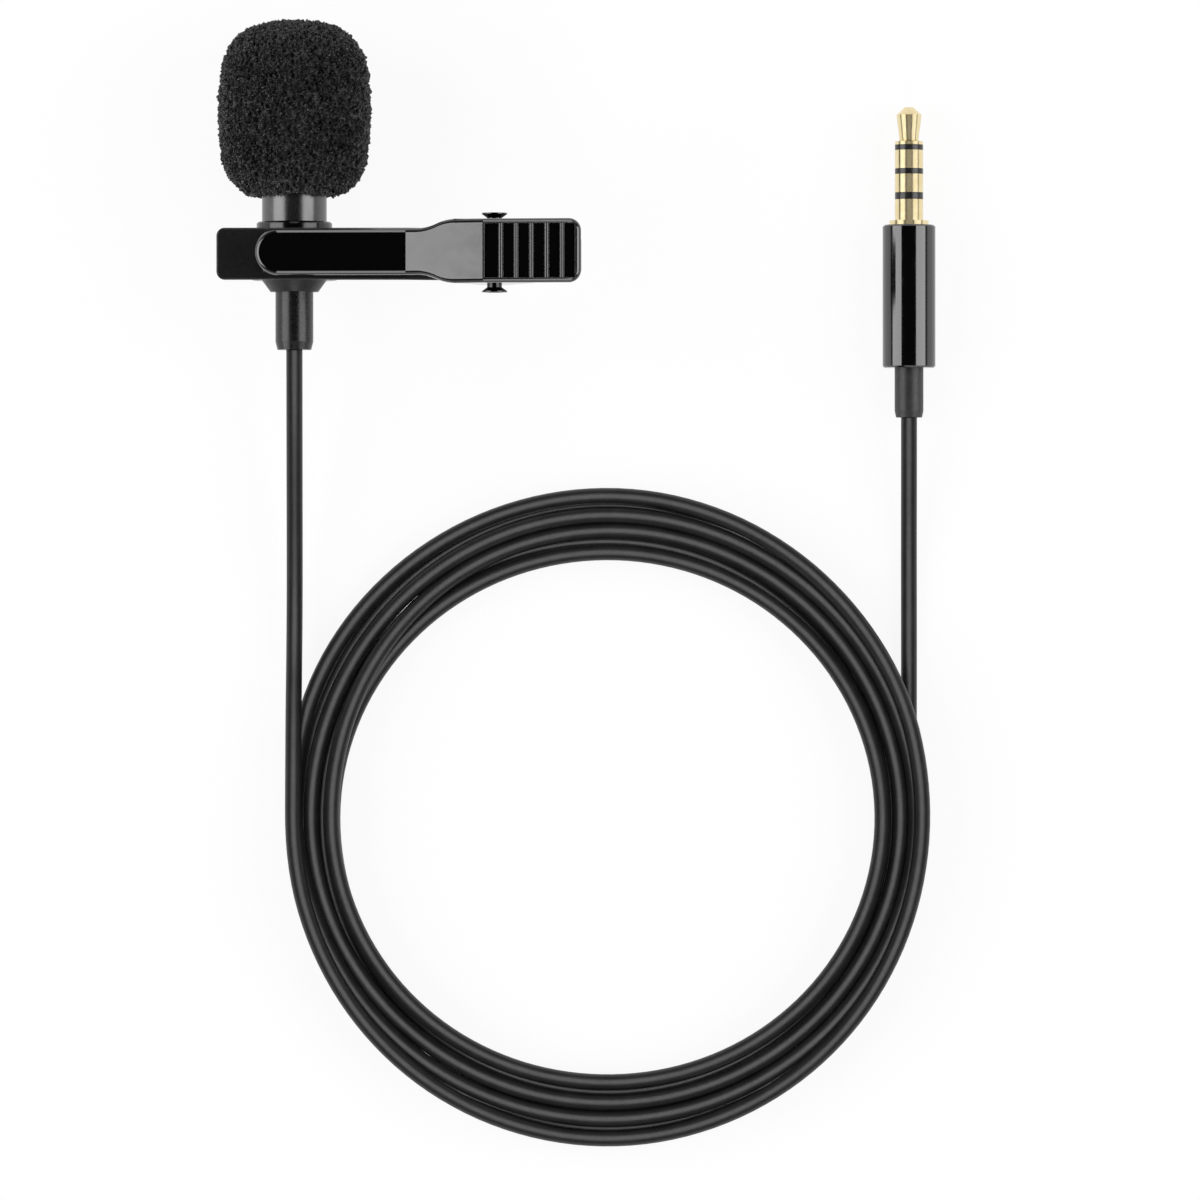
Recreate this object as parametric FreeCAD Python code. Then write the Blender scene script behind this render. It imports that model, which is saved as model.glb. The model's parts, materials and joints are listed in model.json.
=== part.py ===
"""Lavalier microphone with a foam windscreen, a sprung lapel clip and a coiled lead to a 3.5 mm plug.

Millimetres. It lies flat on a table: +Z up, the microphone along +Y with its windscreen at the +Y end,
and the clip along X with its finger grips at the +X end. The origin is on the table, under the middle of
the microphone and its clip.
"""

import FreeCAD, Part
import math
import os

V = FreeCAD.Vector
X_AXIS, Y_AXIS, Z_AXIS = V(1, 0, 0), V(0, 1, 0), V(0, 0, 1)

# ---- fits ------------------------------------------------------------------------------------
running_gap = 0.05  # radial, between pieces that turn or slide on each other
seat_gap = 0.03  # between pieces that are pushed together and stay
soft_gap = 0.3  # round anything made of foam

# ---- microphone, a stack along Y from the windscreen's crown down to the strain relief -------
clip_length = 44.54
mic_axis_x = -12.98
foam_radius = 9.4
foam_length = 21.6
neck_length = 3.22  # housing that shows between the windscreen and the collar
body_radius = 3.975
body_wall = 0.45
collar_radius = 4.65
collar_thickness = 1.1
bush_wall = 0.42
ring_wall = 0.7
ring_width = 6.0
cone_length = 1.4
cone_end_radius = 2.95
boot_radius = 2.33
boot_length = 7.12
boot_end_taper = 0.25
head_reach = 13.3  # housing and head above the windscreen's lower edge
head_length = 8.0
head_wall = 0.4
head_top = 0.6
head_round = 0.35
head_hole_radius = 0.36
head_hole_rings = ((0, 1), (0.36, 5), (0.7, 9))  # share of the bore's radius, and how many holes
head_slot_length = 3.0
head_slot_width = 0.7
head_slot_count = 8
head_slot_shoulder = 0.9  # solid wall between the slots and the head's end
spigot_length = 1.5
collar_edge = 0.2

# ---- capsule and wiring ----------------------------------------------------------------------
capsule_radius = 3.0
capsule_length = 2.7
capsule_wall = 0.25
capsule_depth = 0.9  # from the head's inner face to the capsule
sound_hole_radius = 1.0
felt_thickness = 0.25
board_thickness = 0.6
gasket_length = 1.9
lead_radius = 0.2
lead_spacing = 1.0
ferrule_radius = 1.3
ferrule_length = 2.5
ferrule_crimp = 0.25
tail_spigot = 3.0
tail_bore_radius = 1.8
boot_flange_radius = 2.6
boot_flange = 0.6

# ---- clip ------------------------------------------------------------------------------------
sheet = 0.8
saddle_height = 0.15
saddle_width = 5.2
long_width = 6.34
long_corner = 1.0
arm_width = 5.63
grip_width = 7.77
grip_corner = 1.48
grip_sheet = 1.3
jaw_wall = 0.65
short_setback = 4.91  # of the short jaw's tip behind the long jaw's
crease_from_axis = 13.95  # where both jaws turn away from each other, past the microphone's axis
panel_length = 9.4
flare_start = 1.39  # past the crease
flare_length = 4.72
throat = 4.6
arm_lip = 1.2
grip_lip = 1.6
arm_tilt = 3.0  # degrees
panel_tilt = 17.0
grip_tilt = 6.0
arm_round = 0.65
beak_length = 1.5
beak_slope = 1.3
bite_gap = 0.05
tooth_pitch = 0.94
tooth_depth = 0.45
groove_pitch = 0.7
groove_depth = 0.25
groove_count = 4
rib_pitch = 1.863
rib_count = 5
first_rib = 2.16  # past the panel's end
rib_width = 0.5
rib_sink = 0.02  # the ribs' tops below the grip's rim
hollow_start = 0.15  # past the panel's end
hollow_depth = 0.42
grip_rim = 0.55

pivot_past_panel = 1.35
pivot_radius = 0.92
ear_radius = 2.4
ear_base = 4.9
ear_gap = 0.065  # between the two jaws' ears
rivet_stand = 0.945  # each end past the short jaw's ears
rivet_flare_radius = 1.55
rivet_flare = 0.6
rivet_rim = 0.35
rivet_edge = 0.15
rivet_mouth_depth = 0.5
rivet_bore_radius = 0.5
rivet_bore_depth = 1.1

wire_radius = 0.3
spring_radius = 1.75
spring_pitch = 0.68
spring_whole_turns = 4
spring_steps = 16  # straight lengths of wire in each turn
wire_sides = 12
leg_angle = 35.0

# ---- plug ------------------------------------------------------------------------------------
plug_axis_x = 62.75
plug_front_y = -4.1  # the barrel end of the contact pin
pin_radius = 1.75
pin_length = 14.0
tip_point_radius = 0.55
tip_bulge_radius = 1.57
tip_bulge_at = 0.93  # from the point
tip_neck_radius = 1.18
tip_neck_at = 4.05
tip_shoulder_at = 4.24
insulator_starts = (4.62, 7.59, 10.55)
insulator_widths = (0.64, 0.63, 0.8)
core_radius = 0.45
lining_radius = 0.9
plug_flange_radius = 2.43
plug_flange = 0.55
sleeve_neck_wall = 1.03
sleeve_neck_length = 3.0
barrel_radius = 3.27
barrel_length = 17.63
barrel_wall = 0.6
barrel_edge = 0.2
contact_reach = 0.35  # share of the barrel that the centre contact and its lining reach into
lining_setback = 1.0
plug_boot_radius = 1.81
plug_boot_length = 6.14
plug_boot_taper = 0.2
plug_boot_head = 0.6
plug_boot_head_length = 1.5
taper_slope = 4  # length of a boot's tapered end for each part that it narrows

# ---- lead ------------------------------------------------------------------------------------
cord_diameter = 2.0
coil_centre = (25.5, -77.9)
coil_outer = (39.8, 40.8)  # half widths along X and Y
coil_inner = (33.2, 32.1)
coil_height = 4.0
coil_edge = 0.9
mic_run = [
    (-12.98, -20.25, 9.4),
    (-12.99, -27.2, 9.0),
    (-13.06, -36.2, 2.5),
    (-13.14, -45.5, 1.03),
    (-13.22, -55.0, 1.1),
    (-13.28, -64.0, 2.55),
    (-13.29, -71.5, 2.75),
]
plug_run = [
    (62.75, -28.42, 3.27),
    (62.77, -35.5, 2.75),
    (62.81, -44.0, 1.15),
    (62.86, -53.5, 1.0),
    (62.95, -62.5, 1.02),
    (63.2, -70.5, 1.0),
]

# ---- levels that follow from the sizes above -------------------------------------------------
mic_axis_z = foam_radius
stack = (foam_length, neck_length, collar_thickness, seat_gap, ring_width, seat_gap, cone_length)
foam_top_y = (sum(stack) + boot_length) / 2
foam_end_y = foam_top_y - foam_length
collar_top_y = foam_end_y - neck_length
collar_end_y = collar_top_y - collar_thickness
ring_top_y = collar_end_y - seat_gap
ring_end_y = ring_top_y - ring_width
body_end_y = ring_end_y - seat_gap
cone_end_y = body_end_y - cone_length
boot_end_y = cone_end_y - boot_length
head_top_y = foam_end_y + head_reach
head_base_y = head_top_y - head_length
bush_bore = body_radius + running_gap
bush_radius = bush_bore + bush_wall
ring_bore = bush_radius + running_gap
ring_radius = ring_bore + ring_wall
clip_y = (ring_top_y + ring_end_y) / 2
jaw_seat_z = mic_axis_z + ring_radius + saddle_height
long_top_z = jaw_seat_z + sheet
long_tip_x = -clip_length / 2
grip_end_x = clip_length / 2
short_tip_x = long_tip_x + short_setback
crease_x = mic_axis_x + crease_from_axis
panel_end_x = crease_x + panel_length
pivot_x = panel_end_x + pivot_past_panel


def rise(length, tilt):
    return length * math.tan(math.radians(tilt))


short_tip_z = long_top_z + throat + arm_lip
short_crease_z = short_tip_z + rise(crease_x - short_tip_x, arm_tilt)
short_panel_z = short_crease_z + rise(panel_length, panel_tilt)
short_end_z = short_panel_z + rise(grip_end_x - panel_end_x, grip_tilt)
long_panel_z = jaw_seat_z - rise(panel_length, panel_tilt)
long_end_z = long_panel_z - rise(grip_end_x - panel_end_x, grip_tilt)
pivot_z = (short_panel_z - grip_sheet + long_panel_z + grip_sheet) / 2
plug_axis_z = barrel_radius


# ---- helpers ---------------------------------------------------------------------------------
def write(name, shape):
    """Write one node, after testing that it is closed and valid."""
    shape = shape.removeSplitter()
    if not shape.isValid() or not shape.Solids:
        raise RuntimeError(name + " is not a valid solid")
    shape.exportStep(os.path.join("parts", name + ".step"))
    print(f"{name:18} solids {len(shape.Solids)} volume {shape.Volume:9.2f}")


def solid_of_turn(profile, x, z):
    """Turn a closed outline of (radius, y) points about an axis along Y through x and z."""
    corners = [V(x + radius, y, z) for radius, y in profile]
    face = Part.Face(Part.makePolygon(corners + corners[:1]))
    return face.revolve(V(x, 0, z), Y_AXIS, 360)


def rod(radius, start_y, end_y, x, z):
    low, high = sorted((start_y, end_y))
    return Part.makeCylinder(radius, high - low, V(x, low, z), Y_AXIS)


def mic_turn(profile):
    return solid_of_turn(profile, mic_axis_x, mic_axis_z)


def mic_rod(radius, start_y, end_y):
    return rod(radius, start_y, end_y, mic_axis_x, mic_axis_z)


def mic_tube(outer, inner, start_y, end_y):
    return mic_rod(outer, start_y, end_y).cut(mic_rod(inner, start_y, end_y))


def plug_turn(profile):
    """Turn an outline of (radius, distance from the pin's point) about the plug's axis."""
    point_y = plug_front_y + pin_length
    outline = [(radius, point_y - along) for radius, along in profile]
    return solid_of_turn(outline, plug_axis_x, plug_axis_z)


def side_prism(corners, width, y=None):
    """Stretch an outline of (x, z) points along Y, centred on the clip."""
    middle = clip_y if y is None else y
    points = [V(x, middle - width / 2, z) for x, z in corners]
    return Part.Face(Part.makePolygon(points + points[:1])).extrude(Y_AXIS * width)


def plan_prism(outline):
    """Stretch a wire in the XY plane up through the whole clip."""
    return Part.Face(outline).extrude(Z_AXIS * (short_end_z + sheet))


# ---- microphone ------------------------------------------------------------------------------
def windscreen():
    half = foam_length / 2
    middle_y = foam_top_y - half
    # one arc a line, in shares of the radius and half length: a barrel with a broad crown and a small foot
    arcs = [
        [(0, 1), (0.28, 0.98), (0.52, 0.93)],
        [(0.52, 0.93), (0.82, 0.745), (0.963, 0.45)],
        [(0.963, 0.45), (1, -0.015), (0.963, -0.48)],
        [(0.963, -0.48), (0.84, -0.82), (0.57, -1)],
    ]

    def place(share):
        return V(mic_axis_x + share[0] * foam_radius, middle_y + share[1] * half, mic_axis_z)

    edges = [Part.Arc(*[place(share) for share in arc]).toShape() for arc in arcs]
    foot_middle = place((0, -1))
    edges.append(Part.makeLine(place(arcs[-1][-1]), foot_middle))
    edges.append(Part.makeLine(foot_middle, place(arcs[0][0])))
    ball = Part.Face(Part.Wire(edges)).revolve(V(mic_axis_x, 0, mic_axis_z), Y_AXIS, 360)
    return ball.cut(mic_rod(body_radius + soft_gap, foam_end_y, head_top_y + soft_gap))


def mic_housing():
    return mic_tube(body_radius, body_radius - body_wall, body_end_y, head_base_y)


def head_cap():
    """The perforated head: a cup with slots round its side and rings of holes in its end."""
    bore = body_radius - head_wall
    spigot_radius = body_radius - body_wall - seat_gap
    cup = mic_rod(body_radius, head_base_y, head_top_y)
    spigot = mic_rod(spigot_radius, head_base_y - spigot_length, head_base_y)
    hollow = mic_rod(bore, head_base_y + head_wall, head_top_y - head_top)
    inlet = mic_rod(spigot_radius - head_wall, head_base_y - spigot_length, head_base_y + head_wall)
    cup = cup.fuse(spigot).cut(hollow).cut(inlet)
    rim = [edge for edge in cup.Edges if edge.BoundBox.YMin > head_top_y - 1e-6]
    cup = cup.makeFillet(head_round, rim)
    return cup.cut(head_holes(bore) + head_slots())


def head_holes(bore):
    holes = []
    for ring_share, count in head_hole_rings:
        for step in range(count):
            angle = 2 * math.pi * step / count
            x = mic_axis_x + ring_share * bore * math.cos(angle)
            z = mic_axis_z + ring_share * bore * math.sin(angle)
            holes.append(rod(head_hole_radius, head_top_y - 2 * head_top, head_top_y + head_top, x, z))
    return holes


def head_slots():
    slots = []
    slot_end_y = head_top_y - head_top - head_slot_shoulder
    corner = V(mic_axis_x - head_slot_width / 2, slot_end_y - head_slot_length, mic_axis_z)
    for step in range(head_slot_count):
        slot = Part.makeBox(head_slot_width, head_slot_length, 2 * body_radius, corner)
        slot.rotate(V(mic_axis_x, 0, mic_axis_z), Y_AXIS, 360 * step / head_slot_count)
        slots.append(slot)
    return slots


capsule_top_y = head_top_y - head_top - capsule_depth
capsule_end_y = capsule_top_y - capsule_length


def capsule_can():
    inner = capsule_radius - capsule_wall
    roof_y = capsule_top_y - capsule_wall
    return mic_turn([
        (sound_hole_radius, capsule_top_y), (capsule_radius, capsule_top_y),
        (capsule_radius, capsule_end_y), (inner, capsule_end_y), (inner, roof_y), (sound_hole_radius, roof_y),
    ])


def capsule_felt():
    return mic_rod(capsule_radius - capsule_wall, capsule_top_y, capsule_top_y + felt_thickness)


def capsule_board():
    radius = capsule_radius - capsule_wall - seat_gap
    return mic_rod(radius, capsule_end_y, capsule_end_y + board_thickness)


def capsule_gasket():
    start_y = capsule_end_y + (capsule_length - gasket_length) / 2
    outer = body_radius - head_wall - seat_gap
    return mic_tube(outer, capsule_radius + seat_gap, start_y, start_y + gasket_length)


ferrule_end_y = body_end_y + tail_spigot + boot_flange + seat_gap
ferrule_top_y = ferrule_end_y + ferrule_length


def capsule_leads():
    sides = (-lead_spacing / 2, lead_spacing / 2)
    return Part.makeCompound([
        rod(lead_radius, ferrule_top_y, capsule_end_y, mic_axis_x + side, mic_axis_z) for side in sides
    ])


def cord_ferrule():
    """The crimp on the lead's end that stops it from pulling out."""
    waist = ferrule_radius - ferrule_crimp
    third = ferrule_length / 3
    return mic_turn([
        (0, ferrule_end_y), (ferrule_radius, ferrule_end_y), (ferrule_radius, ferrule_end_y + third),
        (waist, ferrule_end_y + third + ferrule_crimp), (waist, ferrule_top_y - third - ferrule_crimp),
        (ferrule_radius, ferrule_top_y - third), (ferrule_radius, ferrule_top_y), (0, ferrule_top_y),
    ])


def tail_cone():
    inner = body_radius - body_wall - seat_gap
    top = body_end_y + tail_spigot
    return mic_turn([
        (tail_bore_radius, cone_end_y), (cone_end_radius, cone_end_y), (body_radius, body_end_y),
        (inner, body_end_y), (inner, top), (tail_bore_radius, top),
    ])


def mic_boot():
    """The moulded strain relief, held by a flange above the cone's bore."""
    neck = tail_bore_radius - seat_gap
    flange_y = body_end_y + tail_spigot
    return mic_turn([
        (0, boot_end_y), (boot_radius - boot_end_taper, boot_end_y),
        (boot_radius, boot_end_y + taper_slope * boot_end_taper), (boot_radius, cone_end_y),
        (neck, cone_end_y), (neck, flange_y), (boot_flange_radius, flange_y),
        (boot_flange_radius, flange_y + boot_flange), (0, flange_y + boot_flange),
    ])


# ---- holder ----------------------------------------------------------------------------------
def ring_bush():
    """The rubber bush that grips the housing, with the collar that the ring stops against."""
    return mic_turn([
        (bush_bore, ring_end_y), (bush_radius, ring_end_y), (bush_radius, collar_end_y),
        (collar_radius, collar_end_y), (collar_radius, collar_top_y - collar_edge),
        (collar_radius - collar_edge, collar_top_y), (bush_bore, collar_top_y),
    ])


def holder_ring():
    ring = mic_rod(ring_radius, ring_end_y, ring_top_y)
    saddle = Part.makeBox(saddle_width, ring_width, jaw_seat_z - mic_axis_z,
                          V(mic_axis_x - saddle_width / 2, ring_end_y, mic_axis_z))
    return ring.fuse(saddle).cut(mic_rod(ring_bore, ring_end_y, ring_top_y))


# ---- clip ------------------------------------------------------------------------------------
def rounded_end(tip_x, half_width, corner, towards):
    """The edges of a squared end with rounded corners, from the -Y side to the +Y side."""
    low, high = clip_y - half_width, clip_y + half_width
    inner_x = tip_x - towards * corner
    slant = corner * (1 - math.sqrt(0.5))
    slant_x = tip_x - towards * slant
    first = Part.Arc(V(inner_x, low, 0), V(slant_x, low + slant, 0), V(tip_x, low + corner, 0))
    last = Part.Arc(V(tip_x, high - corner, 0), V(slant_x, high - slant, 0), V(inner_x, high, 0))
    edges = [first.toShape()]
    if half_width - corner > 1e-6:
        edges.append(Part.makeLine(V(tip_x, low + corner, 0), V(tip_x, high - corner, 0)))
    return edges + [last.toShape()]


def flare_side(side, inset):
    """One long side of the short jaw: straight, an S of two arcs out to the grip's width, then straight."""
    narrow, wide = clip_y + side * (arm_width / 2 - inset), clip_y + side * (grip_width / 2 - inset)
    start_x = crease_x + flare_start
    end_x = start_x + flare_length
    middle = V((start_x + end_x) / 2, (narrow + wide) / 2, 0)
    step = (wide - narrow) / 2
    radius = (flare_length ** 2 + (2 * step) ** 2) / (8 * abs(step))
    half_angle = math.asin(flare_length / 2 / radius) / 2
    bow_x, bow_y = radius * math.sin(half_angle), side * radius * (1 - math.cos(half_angle))
    arm_end_x = short_tip_x + arm_width / 2
    grip_end = grip_end_x - grip_corner
    first = Part.Arc(V(start_x, narrow, 0), V(start_x + bow_x, narrow + bow_y, 0), middle)
    last = Part.Arc(middle, V(end_x - bow_x, wide - bow_y, 0), V(end_x, wide, 0))
    return [Part.makeLine(V(arm_end_x, narrow, 0), V(start_x, narrow, 0)), first.toShape(), last.toShape(),
            Part.makeLine(V(end_x, wide, 0), V(grip_end, wide, 0))]


def short_plan(inset=0):
    """The short jaw's outline from above, or that outline moved inwards."""
    arm_half = arm_width / 2 - inset
    tip = rounded_end(short_tip_x + inset, arm_half, arm_half, -1)
    end = rounded_end(grip_end_x - inset, grip_width / 2 - inset, grip_corner - inset, 1)
    return Part.Wire(Part.sortEdges(tip + flare_side(1, inset) + end + flare_side(-1, inset))[0])


def long_plan():
    half = long_width / 2
    tip = rounded_end(long_tip_x, half, long_corner, -1)
    end = rounded_end(grip_end_x, half, grip_corner, 1)
    start_x, end_x = long_tip_x + long_corner, grip_end_x - grip_corner
    sides = [Part.makeLine(V(start_x, y, 0), V(end_x, y, 0)) for y in (clip_y - half, clip_y + half)]
    return Part.Wire(Part.sortEdges(tip + sides + end)[0])


def ear(base_z, outer_half, side):
    """One ear from a jaw's plate to the pivot, with its rounded end round the rivet."""
    corners = [(pivot_x - ear_base, base_z), (pivot_x - ear_radius, pivot_z),
               (pivot_x + ear_radius, pivot_z), (pivot_x + ear_base, base_z)]
    middle_y = clip_y + side * (outer_half - jaw_wall / 2)
    plate = side_prism(corners, jaw_wall, middle_y)
    end = rod(ear_radius, middle_y - jaw_wall / 2, middle_y + jaw_wall / 2, pivot_x, pivot_z)
    return plate.fuse(end)


def pivot_hole():
    return rod(pivot_radius + running_gap, clip_y - grip_width, clip_y + grip_width, pivot_x, pivot_z)


def grip_hollows(panel_z, tilt, width):
    """The cutter that sinks a grip's face between its rim and leaves round-topped ribs along Y."""
    slope = math.radians(tilt)
    out = 1 if tilt > 0 else -1

    def place(along, up):
        return V(panel_end_x + along * math.cos(slope) - out * up * math.sin(slope), clip_y - width / 2,
                 panel_z + along * math.sin(slope) + out * up * math.cos(slope))

    half = rib_width / 2
    shoulder = -rib_sink - half
    last = hollow_start
    edges = []
    for step in range(rib_count):
        rib = first_rib + step * rib_pitch
        floor = [place(last, -hollow_depth), place(rib - half, -hollow_depth)]
        edges.append(Part.makePolygon(floor + [place(rib - half, shoulder)]).Edges)
        top = Part.Arc(place(rib - half, shoulder), place(rib, -rib_sink), place(rib + half, shoulder))
        edges.append([top.toShape()])
        edges.append([Part.makeLine(place(rib + half, shoulder), place(rib + half, -hollow_depth))])
        last = rib + half
    end = first_rib + rib_count * rib_pitch - half
    back = [place(last, -hollow_depth), place(end, -hollow_depth), place(end, 1), place(hollow_start, 1)]
    edges.append(Part.makePolygon(back + [place(hollow_start, -hollow_depth)]).Edges)
    outline = Part.Wire([edge for run in edges for edge in run])
    return Part.Face(outline).extrude(Y_AXIS * width)


def short_jaw():
    """The front jaw: a tray that opens downwards, with a toothed beak, ears, and a ribbed finger grip."""
    tips = (short_tip_x, grip_end_x)
    beak_z = long_top_z + bite_gap
    lip_z = short_tip_z - arm_lip
    beak_end_x = short_tip_x + beak_length + beak_slope
    outer_side = [
        (tips[0], short_tip_z), (crease_x, short_crease_z), (panel_end_x, short_panel_z),
        (tips[1], short_end_z), (tips[1], short_end_z - grip_lip), (panel_end_x, short_panel_z - grip_lip),
        (crease_x, short_crease_z - arm_lip), (beak_end_x, lip_z + rise(beak_end_x - tips[0], arm_tilt)),
        (tips[0] + beak_length, beak_z), (tips[0], beak_z),
    ]
    jaw = side_prism(outer_side, 2 * grip_width).common(plan_prism(short_plan()))
    rim = [e for e in jaw.Edges if on_short_top(e) and not crosses(e)]
    jaw = jaw.makeFillet(arm_round, rim)
    under_side = [
        (tips[0], beak_z - 1), (tips[0], short_tip_z - sheet), (crease_x, short_crease_z - sheet),
        (panel_end_x, short_panel_z - sheet), (panel_end_x, short_panel_z - grip_sheet),
        (tips[1], short_end_z - grip_sheet), (tips[1], short_end_z - 4 * grip_lip), (crease_x, beak_z - 1),
    ]
    jaw = jaw.cut(side_prism(under_side, 2 * grip_width).common(plan_prism(short_plan(jaw_wall))))
    for side in (-1, 1):
        jaw = jaw.fuse(ear(short_panel_z - grip_sheet, grip_width / 2, side))
    jaw = jaw.cut(grip_hollows(short_panel_z, grip_tilt, grip_width - 2 * grip_rim))
    jaw = jaw.cut(pivot_hole())
    return jaw.cut(tooth_notches(beak_z))


def tooth_notches(beak_z):
    """V-shaped notches along X that leave the beak's row of teeth."""
    count = int(arm_width / tooth_pitch)
    start_x = short_tip_x - tooth_pitch
    notches = []
    for step in range(count + 1):
        y = clip_y + (step - count / 2) * tooth_pitch
        corners = [V(start_x, y - tooth_pitch / 2, beak_z), V(start_x, y, beak_z + tooth_depth),
                   V(start_x, y + tooth_pitch / 2, beak_z)]
        face = Part.Face(Part.makePolygon(corners + corners[:1]))
        notches.append(face.extrude(X_AXIS * (beak_length + 2 * tooth_pitch)))
    return notches


def on_short_top(edge):
    """True for an edge that lies in the short jaw's upper faces."""
    return all(abs(vertex.Z - short_top_at(vertex.X)) < 1e-4 for vertex in edge.Vertexes)


def short_top_at(x):
    if x < crease_x:
        return short_tip_z + rise(x - short_tip_x, arm_tilt)
    if x < panel_end_x:
        return short_crease_z + rise(x - crease_x, panel_tilt)
    return short_panel_z + rise(x - panel_end_x, grip_tilt)


def crosses(edge):
    """True for the creases, which run straight across the jaw."""
    box = edge.BoundBox
    return box.XLength < 1e-6 and abs(box.XMin - short_tip_x) > 1e-3 and abs(box.XMin - grip_end_x) > 1e-3


def long_jaw():
    """The rear jaw: a flat strip on the holder's saddle that bends down to its own ribbed grip."""
    profile = [
        (long_tip_x, jaw_seat_z), (long_tip_x, long_top_z), (crease_x, long_top_z),
        (panel_end_x, long_panel_z + grip_sheet), (grip_end_x, long_end_z + grip_sheet),
        (grip_end_x, long_end_z), (panel_end_x, long_panel_z), (crease_x, jaw_seat_z),
    ]
    jaw = side_prism(profile, 2 * long_width).common(plan_prism(long_plan()))
    for side in (-1, 1):
        jaw = jaw.fuse(ear(long_panel_z + grip_sheet, grip_width / 2 - jaw_wall - ear_gap, side))
    jaw = jaw.cut(grip_hollows(long_panel_z, -grip_tilt, long_width - 2 * grip_rim))
    jaw = jaw.cut(pivot_hole())
    for step in range(groove_count):
        x = short_tip_x + jaw_wall + step * groove_pitch
        groove = [(x - groove_depth, long_top_z), (x, long_top_z - groove_depth),
                  (x + groove_depth, long_top_z)]
        jaw = jaw.cut(side_prism(groove, arm_width - 2 * jaw_wall))
    return jaw


def pivot_rivet():
    """A rivet with both ends drilled and flared, so that neither jaw comes off it."""
    half = grip_width / 2 + rivet_stand
    side = [
        (0, 0), (pivot_radius, 0), (pivot_radius, half - rivet_flare),
        (rivet_flare_radius, half - rivet_edge), (rivet_flare_radius, half),
        (rivet_flare_radius - rivet_rim, half),
        (rivet_bore_radius, half - rivet_mouth_depth), (rivet_bore_radius, half - rivet_bore_depth),
        (0, half - rivet_bore_depth),
    ]
    upper = solid_of_turn([(r, clip_y + y) for r, y in side], pivot_x, pivot_z)
    lower = solid_of_turn([(r, clip_y - y) for r, y in side], pivot_x, pivot_z)
    return upper.fuse(lower)


def clip_spring():
    """A torsion spring round the rivet, whose two legs push the finger grips apart."""
    start = 90 + leg_angle
    sweep = 360 * spring_whole_turns + 2 * (180 - start)
    height = spring_pitch * sweep / 360
    steps = round(spring_steps * sweep / 360)

    def on_coil(step):
        share = step / steps
        angle = math.radians(start + sweep * share)
        return V(pivot_x + spring_radius * math.cos(angle), clip_y + height * (0.5 - share),
                 pivot_z + spring_radius * math.sin(angle))

    coil = [on_coil(step) for step in range(steps + 1)]
    leg_rise = short_panel_z - grip_sheet - coil[0].z - 2 * wire_radius
    leg_run = leg_rise / math.tan(math.radians(leg_angle))
    upper, lower = coil[0] + V(leg_run, 0, leg_rise), coil[-1] + V(leg_run, 0, -leg_rise)
    path = Part.makePolygon([upper] + coil + [lower])
    return path.makePipeShell([wire_section(upper, coil[0] - upper)], True, False, 1)


def wire_section(centre, direction):
    """The spring wire's section, a polygon across the direction that the wire takes."""
    across = direction.cross(Y_AXIS).normalize()
    corners = []
    for step in range(wire_sides):
        angle = 2 * math.pi * step / wire_sides
        corners.append(centre + (across * math.cos(angle) + Y_AXIS * math.sin(angle)) * wire_radius)
    return Part.makePolygon(corners + corners[:1])


# ---- plug ------------------------------------------------------------------------------------
barrel_front = pin_length + plug_flange
barrel_back = barrel_front + barrel_length
inside_end = barrel_front + barrel_length * contact_reach
sleeve_neck_radius = lining_radius + seat_gap + sleeve_neck_wall


def plug_tip():
    return plug_turn([
        (0, 0), (tip_point_radius, 0), (tip_bulge_radius, tip_bulge_at), (tip_neck_radius, tip_neck_at),
        (pin_radius, tip_shoulder_at), (pin_radius, insulator_starts[0]),
        (core_radius, insulator_starts[0]), (core_radius, inside_end), (0, inside_end),
    ])


def plug_ring(index):
    start = insulator_starts[index] + insulator_widths[index] + seat_gap
    end = insulator_starts[index + 1] - seat_gap
    bore = lining_radius + seat_gap
    return plug_turn([(bore, start), (pin_radius, start), (pin_radius, end), (bore, end)])


def plug_insulation():
    """The moulded lining of the pin, with the three black bands between its contacts."""
    bore = core_radius + seat_gap
    outline = [(bore, insulator_starts[0] + seat_gap), (pin_radius, insulator_starts[0] + seat_gap)]
    for start, width, following in zip(insulator_starts, insulator_widths, insulator_starts[1:] + (None,)):
        outline += [(pin_radius, start + width), (lining_radius, start + width)]
        if following:
            outline += [(lining_radius, following), (pin_radius, following)]
    outline += [(lining_radius, inside_end - lining_setback), (bore, inside_end - lining_setback)]
    return plug_turn(outline)


def plug_sleeve():
    """The pin's base contact, with the flange that the barrel seats against."""
    start = insulator_starts[-1] + insulator_widths[-1] + seat_gap
    bore = lining_radius + seat_gap
    neck_end = barrel_front + sleeve_neck_length
    return plug_turn([
        (bore, start), (pin_radius, start), (pin_radius, pin_length), (plug_flange_radius, pin_length),
        (plug_flange_radius, barrel_front), (sleeve_neck_radius, barrel_front),
        (sleeve_neck_radius, neck_end), (bore, neck_end),
    ])


def plug_barrel():
    """The outer shell: its front seats under the pin's flange and its back holds the strain relief."""
    inner = barrel_radius - barrel_wall
    mouth = sleeve_neck_radius + seat_gap
    return plug_turn([
        (mouth, barrel_front), (barrel_radius - barrel_edge, barrel_front),
        (barrel_radius, barrel_front + barrel_edge), (barrel_radius, barrel_back - barrel_edge),
        (barrel_radius - barrel_edge, barrel_back), (plug_boot_radius, barrel_back),
        (plug_boot_radius, barrel_back - barrel_wall), (inner, barrel_back - barrel_wall),
        (inner, barrel_front + barrel_wall), (mouth, barrel_front + barrel_wall),
    ])


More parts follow.
